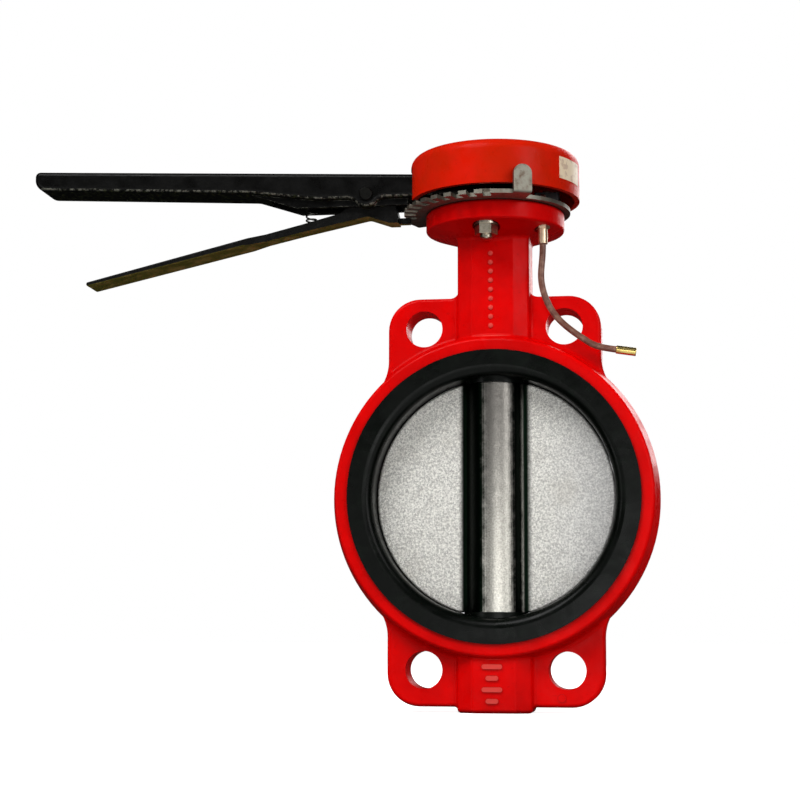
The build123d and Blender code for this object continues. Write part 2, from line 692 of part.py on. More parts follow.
def handle():
    """The cast hand lever: hub, bar and a fork under the bar for the trigger."""
    bar = side_plate(lever_outline(), LEVER_HALF_Y)
    corners = bar.faces().filter_by(Axis.Y).edges().filter_by(lambda e: e.center().X < -HUB_R)
    bar = fillet(corners, LEVER_EDGE_R)
    lever = bar + side_plate(fork_outline(), FORK_CHEEK_HALF_Y)
    hub = rod(HUB_R, HUB_BASE, HUB_TOP)
    lever -= rod(HUB_R, HUB_TOP, LEVER_TOP_AT_END)
    aside = LEVER_HALF_Y + PAST
    lever -= block(0, aside, -aside, aside, HUB_BASE, LEVER_TOP_AT_END)
    lever += hub
    middle = (FORK_CHANNEL_X0 + FORK_CHANNEL_X1) / 2
    channel_base = PIVOT_Z - PIVOT_LOBE_R - PAST
    channel = Rectangle(FORK_CHANNEL_X1 - FORK_CHANNEL_X0, FORK_ROOF - channel_base)
    channel = Pos(middle, (FORK_ROOF + channel_base) / 2) * channel
    channel = fillet(channel.vertices().group_by(Axis.Y)[-1], FORK_ROOF_R)
    lever -= side_plate(channel, FORK_CHANNEL_HALF_Y)
    lever -= along_pin(PIVOT_PIN_R + FIT_GAP, aside)
    half = SHAFT_SQUARE / 2 + FIT_GAP
    socket = block(-half, half, -half, half, HUB_BASE - PAST, HUB_TOP + PAST)
    lever -= socket & rod(SHAFT_R + FIT_GAP, HUB_BASE - PAST, HUB_TOP + PAST)
    for x, y in cover_screw_places():
        lever -= rod(COVER_SCREW_D / 2, HUB_TOP - COVER_SCREW_DEPTH, HUB_TOP + PAST, x, y)
    return lever


def along_pin(radius, half_length):
    """A round bar along the trigger's pivot, the same length either side of the middle."""
    return Pos(PIVOT_X, 0, PIVOT_Z) * Rotation(90, 0, 0) * Cylinder(radius, 2 * half_length)


def cover_screw_places():
    """Two places on the hub, off the lever's own line."""
    return [(0.0, side * COVER_SCREW_R) for side in (-1, 1)]


def handle_washer():
    """A flat washer on the hub."""
    return sleeve(LEVER_WASHER_R, LEVER_SCREW_D / 2 + SCREW_GAP, HUB_TOP, HUB_TOP + LEVER_WASHER_THICK)


def handle_screw():
    """A socket cap screw down into the shaft."""
    seat = HUB_TOP + LEVER_WASHER_THICK
    screw = rod(LEVER_SCREW_HEAD_R, seat, seat + LEVER_SCREW_HEAD)
    screw = fillet(screw.edges().group_by(Axis.Z)[-1], SMALL_CHAMFER)
    screw += rod(LEVER_SCREW_D / 2 - FIT_GAP, SHAFT_TOP - LEVER_SCREW_DEPTH, seat)
    return screw - hex_bar(LEVER_SCREW_HEX_AF, seat + LEVER_SCREW_HEX_FLOOR, seat + LEVER_SCREW_HEAD + PAST)


def trigger_outline():
    """Side view of the trigger: a long strap, a boss round the pin and a short nose under the plate."""
    run = TRIGGER_BEND_X - TRIGGER_TIP_X
    tip = (TRIGGER_TIP_X, TRIGGER_TIP_Z)
    bend = (TRIGGER_BEND_X, TRIGGER_BEND_Z)
    lean = math.atan2(TRIGGER_BEND_Z - TRIGGER_TIP_Z, run)
    across = (-math.sin(lean), math.cos(lean))

    def beside(point, offset):
        return (point[0] + across[0] * offset, point[1] + across[1] * offset)

    nose_top = PLATE_BASE - BLADE_GAP
    nose_base = nose_top - BLADE_THICK
    boss_z = PIVOT_Z - PAST
    edge = Polyline(
        beside(tip, TRIGGER_TIP_THICK / 2),
        beside(bend, TRIGGER_BEND_THICK / 2),
        (TRIGGER_SHOULDER_X, TRIGGER_SHOULDER_Z),
        (PIVOT_X - TRIGGER_BOSS_R, boss_z),
        (PIVOT_X + TRIGGER_BOSS_R, boss_z),
        (TRIGGER_NOSE_X - BLADE_THICK / 2, TRIGGER_NOSE_TOP),
        (TRIGGER_NOSE_X, nose_top),
        (TRIGGER_NOSE_X, nose_base),
        (TRIGGER_NOSE_X - TRIGGER_BOSS_R, nose_base),
        (PIVOT_X, TRIGGER_APEX_Z),
        beside(bend, -TRIGGER_BEND_THICK / 2),
        beside(tip, -TRIGGER_TIP_THICK / 2),
        beside(tip, TRIGGER_TIP_THICK / 2),
    )
    strap = make_face(edge)
    soft = strap.vertices().filter_by(lambda v: abs(v.Y - TRIGGER_APEX_Z) < 0.01)
    strap = fillet(soft, TRIGGER_APEX_R)
    tip_corners = strap.vertices().sort_by(Axis.X)[:2]
    strap = fillet(tip_corners, TRIGGER_TIP_THICK * 0.45)
    return strap + Pos(PIVOT_X, PIVOT_Z) * Circle(TRIGGER_BOSS_R)


def trigger_plan():
    """The trigger seen from above: a wide grip that narrows to pass between the fork's cheeks."""
    reach = TRIGGER_TIP_X - PAST - TRIGGER_TIP_THICK
    side = [
        (reach, TRIGGER_GRIP_HALF_Y),
        (TRIGGER_GRIP_X, TRIGGER_GRIP_HALF_Y),
        (TRIGGER_NECK_X, TRIGGER_HALF_Y),
        (0, TRIGGER_HALF_Y),
    ]
    other_side = [(x, -y) for x, y in reversed(side)]
    return extrude(make_face(Polyline(*side, *other_side, side[0])), LEVER_TOP_AT_END)


def trigger():
    """The squeeze trigger, its pivot boss and the narrow blade that rises into a notch."""
    body = side_plate(trigger_outline(), TRIGGER_GRIP_HALF_Y) & trigger_plan()
    long_edges = body.faces().filter_by(Axis.Y).edges().filter_by(lambda e: e.center().X < TRIGGER_GRIP_X)
    body = fillet(long_edges, TRIGGER_EDGE_R)
    top = PLATE_BASE - BLADE_GAP
    body += block(TRIGGER_NOSE_X - 2, BLADE_TIP_X, -BLADE_HALF_Y, BLADE_HALF_Y, top - BLADE_THICK, top)
    return body - along_pin(PIVOT_PIN_R + RUN_GAP, TRIGGER_HALF_Y + PAST)


def trigger_pin():
    """A headed pivot pin, peened over at the far side."""
    pin = along_pin(PIVOT_PIN_R, LEVER_HALF_Y + PIVOT_PIN_HEAD)
    for side in (-1, 1):
        head = along_pin(PIVOT_PIN_HEAD_R, PIVOT_PIN_HEAD / 2)
        outer = head.edges().filter_by(GeomType.CIRCLE).group_by(Axis.Y)[0 if side < 0 else -1]
        head = fillet(outer, PIVOT_PIN_HEAD * 0.7)
        pin += Pos(0, side * (LEVER_HALF_Y + PIVOT_PIN_HEAD / 2), 0) * head
    return pin


def trigger_spring():
    """The space of the compression spring between the strap and the channel's roof."""
    return Pos(SPRING_X, 0, 0) * sleeve(SPRING_R, SPRING_R - 2 * SPRING_WIRE_R, SPRING_FOOT, FORK_ROOF)


def cover():
    """The round cover, open below, slotted for the lever, with two bosses that stand on the hub."""
    shell = rod(COVER_R, COVER_BASE, COVER_TOP)
    shell = fillet(shell.edges().group_by(Axis.Z)[-1], COVER_EDGE_R)
    ceiling = COVER_TOP - COVER_WALL
    cavity = rod(COVER_R - COVER_WALL, COVER_BASE - PAST, ceiling)
    shell -= fillet(cavity.edges().group_by(Axis.Z)[-1], COVER_EDGE_R - COVER_WALL)
    half = COVER_SLOT_HALF_Y
    shell -= block(-COVER_R - PAST, 0, -half, half, COVER_BASE - PAST, COVER_SLOT_TOP)
    for x, y in cover_screw_places():
        shell += rod(COVER_BOSS_R, HUB_TOP, ceiling + 1, x, y)
    for x, y in cover_screw_places():
        shell -= rod(COVER_SCREW_D / 2 + 0.1, HUB_TOP - PAST, COVER_TOP + PAST, x, y)
    return shell


def cover_screws():
    """Two pan-head screws down through the cover's bosses into the hub."""
    screws = []
    for x, y in cover_screw_places():
        head = rod(COVER_SCREW_HEAD_R, COVER_TOP, COVER_TOP + COVER_SCREW_HEAD, x, y)
        head = fillet(head.edges().group_by(Axis.Z)[-1], COVER_SCREW_HEAD * 0.6)
        screw = head + rod(COVER_SCREW_D / 2 - FIT_GAP, HUB_TOP - COVER_SCREW_DEPTH + 0.5, COVER_TOP, x, y)
        for turn in (0, 90):
            slot = Rotation(0, 0, turn) * Box(COVER_CROSS_L, COVER_CROSS_W, 2 * COVER_CROSS_DEPTH)
            screw -= Pos(x, y, COVER_TOP + COVER_SCREW_HEAD) * slot
        screws.append(screw)
    return Compound(children=screws)


def cover_label():
    """A plain sticker on the side of the cover."""
    band = sleeve(COVER_R + LABEL_THICK, COVER_R, LABEL_BASE, LABEL_BASE + LABEL_H)
    half = math.radians(LABEL_W_ANGLE / 2)
    reach = 2 * COVER_R
    wedge = make_face(Polyline(
        (0, 0),
        (reach * math.cos(half), -reach * math.sin(half)),
        (reach * math.cos(half), reach * math.sin(half)),
        (0, 0),
    ))
    wedge = extrude(Pos(0, 0, LABEL_BASE - PAST) * Rotation(0, 0, LABEL_MID_ANGLE) * wedge, LABEL_H + 2)
    return band & wedge


def cam_ring():
    """A ring on the hub whose radius grows evenly over a quarter turn, then returns."""
    points = []
    for step in range(CAM_STEPS + 1):
        turn = CAM_TURN * step / CAM_STEPS
        radius = CAM_R + CAM_RISE * step / CAM_STEPS
        angle = math.radians(-turn)
        points.append((radius * math.cos(angle), radius * math.sin(angle)))
    rise = Spline(points)
    start = Vector(*points[0])
    end = Vector(*points[-1])
    dwell = CAM_DWELL
    early = Vector(CAM_R, 0).rotate(Axis.Z, dwell)
    late = Vector(CAM_R + CAM_RISE, 0).rotate(Axis.Z, -CAM_TURN - dwell)
    before = ThreePointArc(early, Vector(CAM_R, 0).rotate(Axis.Z, dwell / 2), start)
    after = ThreePointArc(end, Vector(CAM_R + CAM_RISE, 0).rotate(Axis.Z, -CAM_TURN - dwell / 2), late)
    back = ThreePointArc(late, Vector(CAM_R, 0).rotate(Axis.Z, 180 - CAM_TURN / 2), early)
    profile = make_face([before, rise, after, back])
    ring_body = Pos(0, 0, CAM_BASE) * extrude(profile, CAM_TOP - CAM_BASE)
    return ring_body - rod(HUB_R + FIT_GAP, CAM_BASE - PAST, CAM_TOP + PAST)


def along_plunger(radius, x0, x1):
    """A round bar along the switch plunger's line."""
    return Pos((x0 + x1) / 2, 0, PLUNGER_Z) * Rotation(0, 90, 0) * Cylinder(radius, x1 - x0)


def switch_case():
    """The switch's case, bored for its plunger and for the cable's tail."""
    case = block(SWITCH_X0, SWITCH_X1, SWITCH_Y0, SWITCH_Y1, PLATE_TOP, SWITCH_TOP)
    case = fillet(case.edges().filter_by(Axis.Z), SWITCH_EDGE_R)
    case -= along_plunger(PLUNGER_R + RUN_GAP, SWITCH_X0 - PAST, SWITCH_X0 + PLUNGER_IN_CASE + PLUNGER_SPARE)
    for x, y in switch_screw_places():
        case -= rod(SWITCH_SCREW_D / 2 + EASY_GAP, PLATE_TOP - PAST, SWITCH_TOP + PAST, x, y)
    return case


def switch_screw_places():
    """The switch's two screws, either side of the middle of its case."""
    return [(SWITCH_SCREW_X, SWITCH_MID_Y + side * SWITCH_SCREW_SPREAD) for side in (-1, 1)]


def switch_plunger():
    """The round-nosed plunger that follows the cam."""
    tip = CAM_R + PLUNGER_TIP_GAP
    plunger = along_plunger(PLUNGER_R, tip, SWITCH_X0 + PLUNGER_IN_CASE)
    return fillet(plunger.edges().filter_by(GeomType.CIRCLE).group_by(Axis.X)[0], PLUNGER_R * 0.8)


def switch_screws():
    """Two screws down through the case into the plate."""
    screws = []
    for x, y in switch_screw_places():
        screw = rod(SWITCH_SCREW_D / 2, PLATE_TOP - SWITCH_SCREW_BITE, SWITCH_TOP, x, y)
        head = rod(SWITCH_SCREW_HEAD_R, SWITCH_TOP, SWITCH_TOP + SWITCH_SCREW_HEAD, x, y)
        screws.append(screw + fillet(head.edges().group_by(Axis.Z)[-1], SMALL_CHAMFER))
    return Compound(children=screws)


def cable_path():
    """The cable's line from the switch, down through the gland and out to its free end."""
    bend_y = CABLE_Y + CABLE_BEND_R
    bend_z = CABLE_TOP - CABLE_BEND_R
    tail = Line((CABLE_X, SWITCH_Y0, CABLE_TOP), (CABLE_X, bend_y, CABLE_TOP))
    bend_mid = CABLE_BEND_R * math.sqrt(0.5)
    bend = ThreePointArc(
        (CABLE_X, bend_y, CABLE_TOP),
        (CABLE_X, bend_y - bend_mid, bend_z + bend_mid),
        (CABLE_X, CABLE_Y, bend_z),
    )
    start = (CABLE_X, CABLE_Y, CABLE_START_Z)
    straight = Line((CABLE_X, CABLE_Y, bend_z), start)
    hang = [(x, CABLE_LINE_Y, z) for x, z in CABLE_DROP]
    tangents = ((0, 0, -1), (1, 0, CABLE_END_SLOPE))
    drop = Spline(start, *hang, (CABLE_END_X, CABLE_LINE_Y, CABLE_END_Z), tangents=tangents)
    return tail + bend + straight + drop


def cable():
    """The signal cable."""
    start = Plane((CABLE_X, SWITCH_Y0, CABLE_TOP), x_dir=(1, 0, 0), z_dir=(0, -1, 0))
    return sweep(start * Circle(CABLE_R), path=cable_path())


def cable_gland():
    """A slim gland through plate and flange, with a hexagon collar under the flange."""
    gland = rod(GLAND_BODY_R, GLAND_END, GLAND_TOP, CABLE_X, CABLE_Y)
    gland += hex_bar(GLAND_COLLAR_AF, FLANGE_BOTTOM - GLAND_COLLAR, FLANGE_BOTTOM, CABLE_X, CABLE_Y)
    return gland - rod(CABLE_R + FIT_GAP, GLAND_END - PAST, PLATE_TOP + PAST, CABLE_X, CABLE_Y)


def cable_ferrule():
    """The metal sleeve crimped over the cable's free end."""
    end = Plane((CABLE_END_X, CABLE_LINE_Y, CABLE_END_Z), z_dir=(1, 0, CABLE_END_SLOPE))
    sleeve_body = end * Pos(0, 0, FERRULE_LENGTH / 2) * Cylinder(FERRULE_R, FERRULE_LENGTH)
    return fillet(sleeve_body.edges().filter_by(GeomType.CIRCLE), FERRULE_EDGE_R)


PIECES = {
    "body_casting": body_casting,
    "seat_liner": seat_liner,
    "disc": disc,
    "upper_stem": upper_stem,
    "lower_stem": lower_stem,
    "lower_neck_bush": lambda: bush(LOWER_BUSH_BASE, LOWER_BUSH_TOP),
    "upper_neck_bush": lambda: bush(UPPER_BUSH_BASE, UPPER_BUSH_TOP),
    "bottom_bush": lambda: bush(BOTTOM_BUSH_BASE, BOTTOM_BUSH_TOP),
    "stem_packing": stem_packing,
    "stem_retaining_ring": stem_retaining_ring,
    "bottom_plug": bottom_plug,
    "bottom_plug_seal": bottom_plug_seal,
    "notched_plate": notched_plate,
    "plate_bolts": lambda: at_plate_bolts(plate_bolt),
    "plate_washers": lambda: at_plate_bolts(plate_washer),
    "plate_nuts": lambda: at_plate_bolts(plate_nut),
    "handle": handle,
    "handle_washer": handle_washer,
    "handle_screw": handle_screw,
    "trigger": trigger,
    "trigger_pin": trigger_pin,
    "trigger_spring": trigger_spring,
    "cover": cover,
    "cover_screws": cover_screws,
    "cover_label": cover_label,
    "cam_ring": cam_ring,
    "switch_case": switch_case,
    "switch_plunger": switch_plunger,
    "switch_screws": switch_screws,
    "cable_gland": cable_gland,
    "cable": cable,
    "cable_ferrule": cable_ferrule,
}

os.makedirs("parts", exist_ok=True)
for name, make in PIECES.items():
    save(name, make())
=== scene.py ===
import json
import math

import bmesh
import bpy
from mathutils import Matrix, Vector


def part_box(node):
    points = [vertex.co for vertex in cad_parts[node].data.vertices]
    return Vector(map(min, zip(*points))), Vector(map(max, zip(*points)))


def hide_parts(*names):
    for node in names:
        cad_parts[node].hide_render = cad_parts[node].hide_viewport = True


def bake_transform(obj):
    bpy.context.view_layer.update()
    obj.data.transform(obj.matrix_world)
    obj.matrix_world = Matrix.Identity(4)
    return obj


# The finished look of a wafer butterfly valve. Metres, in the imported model's own frame: the pipe runs
# along Y, the shaft along Z, and the closed lever points along -X.

MM = 0.001
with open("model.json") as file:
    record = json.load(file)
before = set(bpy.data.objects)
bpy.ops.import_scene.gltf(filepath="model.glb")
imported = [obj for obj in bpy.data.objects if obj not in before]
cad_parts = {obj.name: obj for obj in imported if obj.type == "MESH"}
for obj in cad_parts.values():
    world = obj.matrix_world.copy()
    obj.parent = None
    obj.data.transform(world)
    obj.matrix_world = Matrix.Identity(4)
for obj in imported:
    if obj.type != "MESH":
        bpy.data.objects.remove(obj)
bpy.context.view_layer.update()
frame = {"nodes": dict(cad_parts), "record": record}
NODES = frame["nodes"]
RECORD = frame["record"]

# The part of the body's front that carries its raised dots and bars. Each pair runs across a soft edge:
# the height either side of the shaft's middle, the half width, and the depth in front of the shaft.
MARKS_START = (103.5 * MM, 104.0 * MM)
MARKS_END = (163.0 * MM, 162.5 * MM)
MARKS_SIDE = (12 * MM, 11 * MM)
MARKS_DEPTH = (-22.25 * MM, -22.6 * MM)

# Distances either side of the disc's hub line: where the hub turns into the plates, and where its
# painted highlight ends.
HUB_TO_PLATE = (20.5 * MM, 24.5 * MM)
HIGHLIGHT_SIDE = (19 * MM, 16.5 * MM)

# The spring: its wire, its turns, how many of them lie closed at each end, and how finely it is drawn.
WIRE_RADIUS = 0.6 * MM
COIL_TURNS = 6.5
COIL_CLOSED = 1.0
COIL_STEPS = 26
COIL_SIDES = 8

# The floor: half its width, its colour to the camera and for the light it throws back, and its glow.
FLOOR_HALF = 60.0
FLOOR_SEEN = (0.95, 0.95, 0.95)
FLOOR_THROWN = (0.30, 0.30, 0.30)
FLOOR_GLOW = 0.80

# What the softboxes point at.
MIDDLE = (0, 0, 0)
ABOVE_MIDDLE = (0, 0, 0.05)

# How bright the room is on matt surfaces, in reflections away from its panel, and to the camera.
WHITE = (1.0, 1.0, 1.0)
ROOM_EVEN = 0.24
ROOM_DARK = 0.015
ROOM_SEEN = 1.0

# The photograph's viewpoint: a little below the disc and to its right, looking slightly up and left.
EYE = (0.1067, -1.1435, -0.0932)
EYE_YAW = math.radians(8.483)
EYE_PITCH = math.radians(7.837)
EYE_ROLL = math.radians(0.203)
EYE_LENS = 79.13
EYE_SENSOR = 36.0
EYE_NEAR = 0.05

# The Mix node has separate sockets for numbers and for colours, told apart only by their places.
MIX_SHARE = 0
MIX_NUMBERS = (2, 3)
MIX_COLOURS = (6, 7)
MIX_NUMBER_OUT = 0
MIX_COLOUR_OUT = 2

# How many directions each test for a corner or a crease looks in.
PROBES = 4


# ---------------------------------------------------------------- materials

class Recipe:
    """A node tree being built, with the coordinates its textures use."""

    def __init__(self, tree, coordinates):
        self.nodes = tree.nodes
        self.links = tree.links
        self.place = self.nodes.new("ShaderNodeTexCoord").outputs[coordinates]

    def put(self, socket, value):
        """Sets an input to a number or colour, or links it to another node's output."""
        if isinstance(value, bpy.types.NodeSocket):
            self.links.new(value, socket)
        elif hasattr(socket.default_value, "__len__") and not hasattr(value, "__len__"):
            socket.default_value = [value] * len(socket.default_value)
        elif hasattr(value, "__len__") and len(socket.default_value) == 4 and len(value) == 3:
            socket.default_value = (*value, 1.0)
        else:
            socket.default_value = value

    def stretched(self, x, y, z):
        """The coordinates, scaled along each axis."""
        node = self.nodes.new("ShaderNodeVectorMath")
        node.operation = "MULTIPLY"
        self.links.new(self.place, node.inputs[0])
        node.inputs[1].default_value = (x, y, z)
        return node.outputs[0]

    def noise(self, size, detail=4.0, rough=0.55, place=None, warp=0.0):
        """Cloudy noise with features about this size in metres, 0 to 1."""
        node = self.nodes.new("ShaderNodeTexNoise")
        self.links.new(place or self.place, node.inputs["Vector"])
        node.inputs["Scale"].default_value = 1.0 / size
        node.inputs["Detail"].default_value = detail
        node.inputs["Roughness"].default_value = rough
        node.inputs["Distortion"].default_value = warp
        return node.outputs["Fac"]

    def cells(self, size):
        """Distance to the nearest of many scattered points about this far apart."""
        node = self.nodes.new("ShaderNodeTexVoronoi")
        self.links.new(self.place, node.inputs["Vector"])
        node.inputs["Scale"].default_value = 1.0 / size
        return node.outputs["Distance"]

    def ramp(self, value, low, high, start=0.0, end=1.0):
        """The value spread from low..high to start..end, smoothly and held at both ends."""
        node = self.nodes.new("ShaderNodeMapRange")
        node.interpolation_type = "SMOOTHSTEP"
        self.put(node.inputs["Value"], value)
        limits = {"From Min": low, "From Max": high, "To Min": start, "To Max": end}
        for name, number in limits.items():
            node.inputs[name].default_value = number
        return node.outputs["Result"]

    def maths(self, operation, first, second=0.0):
        """One step of arithmetic on two values."""
        node = self.nodes.new("ShaderNodeMath")
        node.operation = operation
        self.put(node.inputs[0], first)
        self.put(node.inputs[1], second)
        return node.outputs[0]

    def times(self, first, second):
        return self.maths("MULTIPLY", first, second)

    def plus(self, first, second):
        return self.maths("ADD", first, second)

    def larger(self, first, second):
        return self.maths("MAXIMUM", first, second)

    def unsigned(self, value):
        return self.maths("ABSOLUTE", value)

    def mix(self, share, first, second):
        """A colour between two others."""
        node = self.nodes.new("ShaderNodeMix")
        node.data_type = "RGBA"
        self.put(node.inputs[MIX_SHARE], share)
        for place, value in zip(MIX_COLOURS, (first, second)):
            self.put(node.inputs[place], value)
        return node.outputs[MIX_COLOUR_OUT]

    def choose(self, share, first, second):
        """A value between two others."""
        node = self.nodes.new("ShaderNodeMix")
        self.put(node.inputs[MIX_SHARE], share)
        for place, value in zip(MIX_NUMBERS, (first, second)):
            self.put(node.inputs[place], value)
        return node.outputs[MIX_NUMBER_OUT]

    def axis(self, name):
        """One coordinate of the point in metres or, in the world, of the direction looked in."""
        node = self.nodes.new("ShaderNodeSeparateXYZ")
        self.links.new(self.place, node.inputs[0])
        return node.outputs[name]

    def ray(self, kind):
        """1 for rays of this kind, 0 for the rest."""
        return self.nodes.new("ShaderNodeLightPath").outputs[f"Is {kind} Ray"]

    def facing(self, name):
        """One coordinate of the surface's own direction, before any bump."""
        node = self.nodes.new("ShaderNodeSeparateXYZ")
        geometry = self.nodes.new("ShaderNodeNewGeometry")
        self.links.new(geometry.outputs["True Normal"], node.inputs[0])
        return node.outputs[name]


class Finish(Recipe):
    """A node material being built: a Principled surface, with coordinates in the row's own metres."""

    def __init__(self, name):
        self.material = bpy.data.materials.new(name)
        self.material.use_nodes = True
        super().__init__(self.material.node_tree, "Object")
        self.surface = self.nodes["Principled BSDF"]

    def set(self, **inputs):
        """Sets the surface's inputs by name, with underscores for spaces."""
        for name, value in inputs.items():
            self.put(self.surface.inputs[name.replace("_", " ")], value)

    def corners(self, radius):
        """How sharply the surface turns within this radius: 0 on flats, towards 1 on edges."""
        bevel = self.nodes.new("ShaderNodeBevel")
        bevel.samples = PROBES
        bevel.inputs["Radius"].default_value = radius
        plain = self.nodes.new("ShaderNodeNewGeometry")
        agreement = self.nodes.new("ShaderNodeVectorMath")
        agreement.operation = "DOT_PRODUCT"
        self.links.new(bevel.outputs[0], agreement.inputs[0])
        self.links.new(plain.outputs["Normal"], agreement.inputs[1])
        flat, sharp = 0.99, 0.86
        return self.ramp(agreement.outputs["Value"], flat, sharp)

    def hollows(self, distance):
        """Nearness of other surfaces: 0 in the open, 1 deep in a crease."""
        node = self.nodes.new("ShaderNodeAmbientOcclusion")
        node.samples = PROBES
        node.inputs["Distance"].default_value = distance
        clear, hidden = 0.9, 0.3
        return self.ramp(node.outputs["AO"], clear, hidden)

    def bump(self, height, depth, below=None):
        """Bump from a 0..1 height with this depth in metres, on top of another bump if given."""
        node = self.nodes.new("ShaderNodeBump")
        node.inputs["Strength"].default_value = 1.0
        node.inputs["Distance"].default_value = depth
        self.put(node.inputs["Height"], height)
        if below is not None:
            self.links.new(below, node.inputs["Normal"])
        self.links.new(node.outputs[0], self.surface.inputs["Normal"])
        return node.outputs[0]


def scaled(colour, factor):
    """A colour made darker or brighter, up to full."""
    return [min(1.0, factor * part) for part in colour]


def raised_marks(finish):
    """1 on the dots and bars that stand on the body's front, 0 elsewhere."""
    proud = finish.ramp(finish.axis("Y"), *MARKS_DEPTH)
    height = finish.unsigned(finish.axis("Z"))
    between = finish.times(finish.ramp(height, *MARKS_START), finish.ramp(height, *MARKS_END))
    central = finish.ramp(finish.unsigned(finish.axis("X")), *MARKS_SIDE)
    return finish.times(proud, finish.times(between, central))


def painted_casting(name, colour, shade, chip, marks=None):
    """Thick paint over a sand casting: painted shade in creases and underneath, chipped on edges, and a
    painted highlight on its raised marks.
    """
    finish = Finish(name)
    tone = finish.mix(finish.ramp(finish.noise(30 * MM, 3), 0.35, 0.7), colour, shade)
    # Painted shade: creases and surfaces facing down are darkened towards a dim copy of the shade
    # colour.
    under = finish.ramp(finish.facing("Z"), -0.2, -0.9)
    shadowed = finish.larger(finish.hollows(7 * MM), finish.times(under, 0.45))
    tone = finish.mix(finish.times(shadowed, 0.75), tone, scaled(shade, 0.28))
    grime = finish.ramp(finish.noise(3 * MM, 6, 0.7), 0.58, 0.75, 0.0, 0.35)
    tone = finish.mix(grime, tone, scaled(shade, 0.55))
    # Painted highlight: the raised dots and bars are lightened towards the marks colour.
    if marks is not None:
        tone = finish.mix(finish.times(raised_marks(finish), 0.45), tone, marks)
    flake = finish.ramp(finish.noise(2.2 * MM, 5, 0.7), 0.64, 0.70)
    worn = finish.times(finish.corners(0.5 * MM), flake)
    tone = finish.mix(worn, tone, chip)
    rough = finish.ramp(finish.noise(14 * MM, 4, 0.6), 0.3, 0.75, 0.24, 0.42)
    rough = finish.larger(rough, finish.times(worn, 0.6))
    finish.set(Base_Color=tone, Roughness=rough, Specular_IOR_Level=0.06)
    lumps = finish.bump(finish.noise(9 * MM, 2, 0.4), 0.35 * MM)
    peel = finish.bump(finish.noise(1.6 * MM, 3, 0.5), 0.06 * MM, lumps)
    finish.bump(finish.times(worn, -1.0), 0.08 * MM, peel)
    return finish.material


def seat_rubber():
    """Moulded black rubber with a satin skin, faint flow marks and a little grey-green bloom."""
    finish = Finish("seat_rubber")
    bloom = finish.ramp(finish.noise(9 * MM, 6, 0.7), 0.45, 0.8, 0.0, 0.6)
    tone = finish.mix(bloom, (0.0012, 0.0020, 0.0013), (0.0045, 0.0085, 0.0050))
    rough = finish.ramp(finish.noise(26 * MM, 3, 0.5, warp=1.2), 0.3, 0.7, 0.22, 0.36)
    finish.set(Base_Color=tone, Roughness=rough, Specular_IOR_Level=0.10)
    skin = finish.bump(finish.noise(18 * MM, 2), 0.22 * MM)
    finish.bump(finish.noise(0.5 * MM, 2), 0.012 * MM, skin)
    return finish.material


def plate_tone(finish, stipple):
    """The disc's plates: pale and stippled, with painted shade that makes them greyer to the right, and
    brownish stains.
    """
    tone = finish.mix(finish.ramp(stipple, 0.40, 0.60), (0.40, 0.39, 0.365), (0.96, 0.95, 0.89))
    # Painted shade: the plates darken towards grey to the right.
    rightward = finish.ramp(finish.axis("X"), 20 * MM, 75 * MM, 0.0, 0.35)
    tone = finish.mix(rightward, tone, (0.52, 0.52, 0.55))
    stain = finish.ramp(finish.noise(30 * MM, 5, 0.6), 0.5, 0.8, 0.0, 0.4)
    return finish.mix(stain, tone, (0.52, 0.49, 0.43))


def hub_tone(finish, stipple, across):
    """The disc's hub: a painted highlight down its front, wavy at its sides, with painted dark
    reflection beside it.
    """
    # Painted reflection: hub surfaces facing the front get a pale highlight, and the rest of the hub is
    # painted near black.
    rightward = finish.times(finish.facing("X"), 0.17)
    frontward = finish.times(finish.facing("Y"), -0.985)
    towards = finish.unsigned(finish.plus(rightward, frontward))
    wander = finish.times(finish.maths("SUBTRACT", finish.noise(9 * MM, 4, 0.7), 0.5), 0.20)
    lit = finish.ramp(finish.plus(towards, wander), 0.80, 0.95)
    painted_highlight = finish.times(lit, finish.ramp(across, *HIGHLIGHT_SIDE))
    # Painted light: the hub is paler at the bottom and darker towards the top.
    height = finish.ramp(finish.axis("Z"), -70 * MM, 72 * MM)
    tone = finish.mix(height, (0.56, 0.545, 0.49), (0.19, 0.18, 0.165))
    tone = finish.mix(finish.ramp(stipple, 0.4, 0.62, 0.0, 0.55), tone, (0.12, 0.115, 0.105))
    return finish.mix(painted_highlight, (0.0012, 0.004, 0.002), tone)


def disc_metal():
    """Nickel-plated casting: stippled and bright on the plates, smooth down the hub, with a painted
    highlight and painted dark reflection on it.
    """
    finish = Finish("disc_metal")
    across = finish.unsigned(finish.axis("X"))
    plate = finish.ramp(across, *HUB_TO_PLATE)
    stipple = finish.noise(1.15 * MM, 6, 0.85)
    tone = finish.mix(plate, hub_tone(finish, stipple, across), plate_tone(finish, stipple))
    finish.set(Base_Color=tone, Metallic=finish.ramp(plate, 0.0, 1.0, 0.95, 0.45))
    finish.set(Roughness=finish.ramp(plate, 0.0, 1.0, 0.30, 0.55))
    finish.set(Specular_IOR_Level=finish.ramp(plate, 0.0, 1.0, 0.1, 0.5))
    pits = finish.plus(finish.times(stipple, 0.8), finish.times(finish.cells(1.4 * MM), 0.5))
    depth = finish.times(pits, finish.ramp(plate, 0.0, 1.0, 0.45, 1.0))
    cast = finish.bump(finish.noise(11 * MM, 2), 0.20 * MM)
    finish.bump(depth, 0.20 * MM, cast)
    return finish.material


